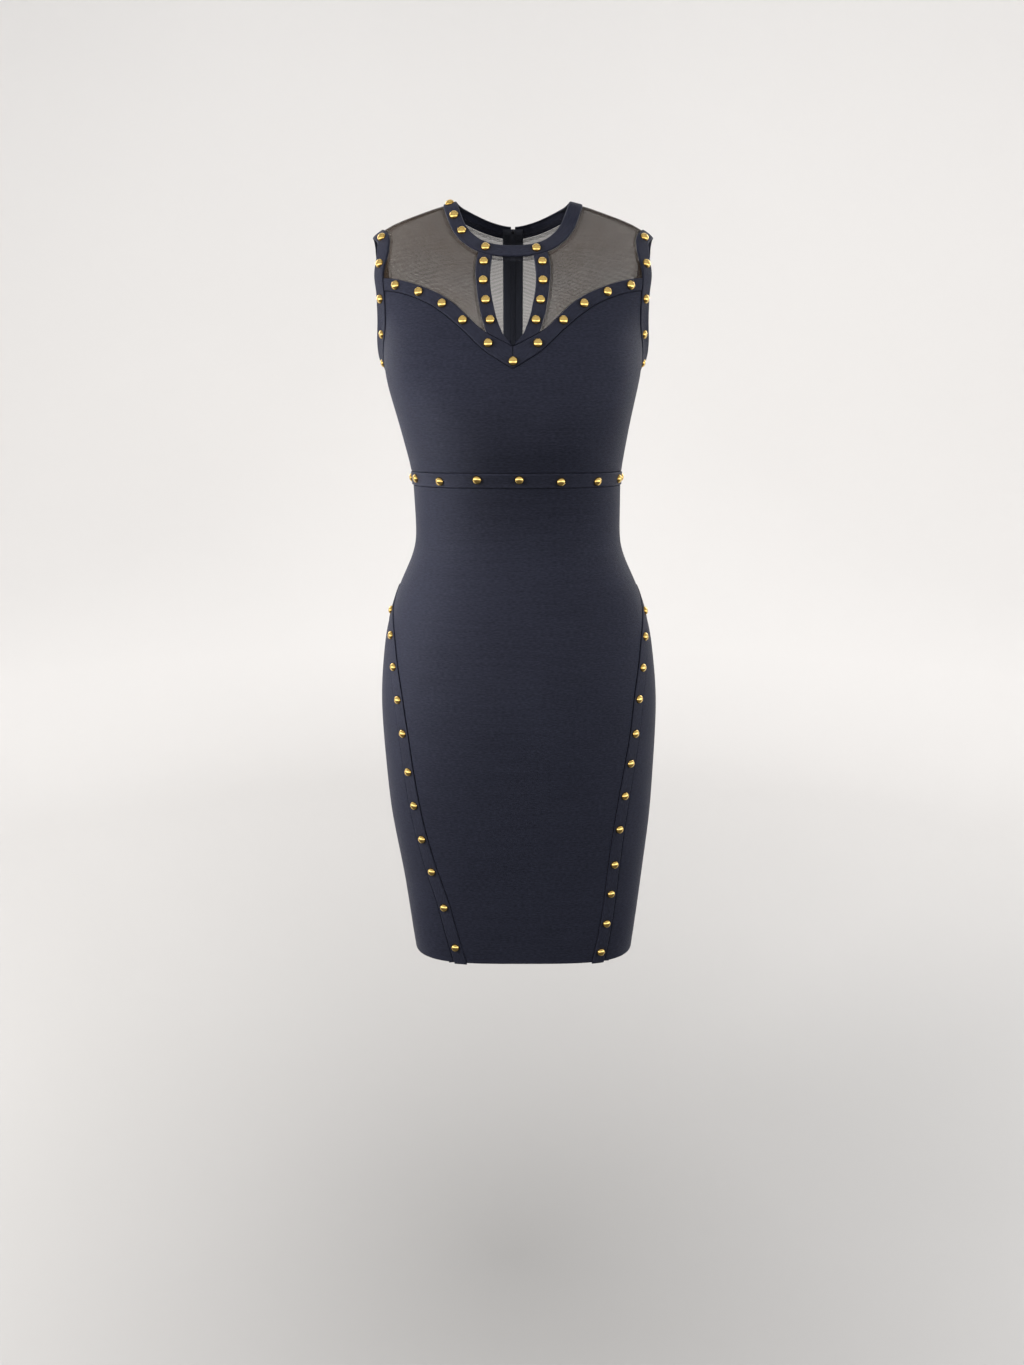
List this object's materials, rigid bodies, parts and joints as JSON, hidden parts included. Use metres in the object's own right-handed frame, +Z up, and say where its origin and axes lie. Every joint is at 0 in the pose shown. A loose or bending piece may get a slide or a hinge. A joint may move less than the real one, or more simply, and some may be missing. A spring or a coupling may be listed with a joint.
{
  "type": "bodycon dress",
  "caption": "Sleeveless bodycon dress with sheer mesh yoke, open keyhole, sweetheart bodice and flat bands set with domed studs, kept in its hollow worn shape.",
  "frame": {"origin": "middle of the neck opening, level with the shoulder line beside the neck", "axes": "+Z up, front faces -Y, +X is the wearer's left"},
  "size_m": [0.3457, 0.2558, 0.9119],
  "materials": {
    "knit": "matte bandage knit with a faint sheen",
    "band": "doubled knit band; its studs are polished gold metal",
    "mesh": "sheer power mesh",
    "gold": "polished gold",
    "tape": "woven zip tape",
    "zip_metal": "dark lacquered metal"
  },
  "bodies": {
    "dress": {"bodice_front": "knit", "bodice_back_left": "knit", "bodice_back_right": "knit", "skirt_front": "knit", "skirt_side_left": "knit", "skirt_side_right": "knit", "skirt_back_left": "knit", "skirt_back_right": "knit", "yoke_front_left": "mesh", "yoke_front_right": "mesh", "yoke_back_left": "mesh", "yoke_back_right": "mesh", "neckband": "band", "keyhole_band_left": "band", "keyhole_band_right": "band", "sweetheart_band_left": "band", "sweetheart_band_right": "band", "armhole_band_left": "band", "armhole_band_right": "band", "waistband": "band", "skirt_band_left": "band", "skirt_band_right": "band", "stud_front_center": "gold", "zip_tape_left": "tape", "zip_tape_right": "tape", "zip_slider": "zip_metal"},
    "pull": {"zip_pull": "zip_metal"}
  },
  "joints": [
    {"name": "pull_hinge", "type": "hinge", "parent": "dress", "child": "pull", "pos_m": [0, 0.06331, -0.0174], "axis": [1, 0, 0], "range_deg": [0, 150]}
  ]
}
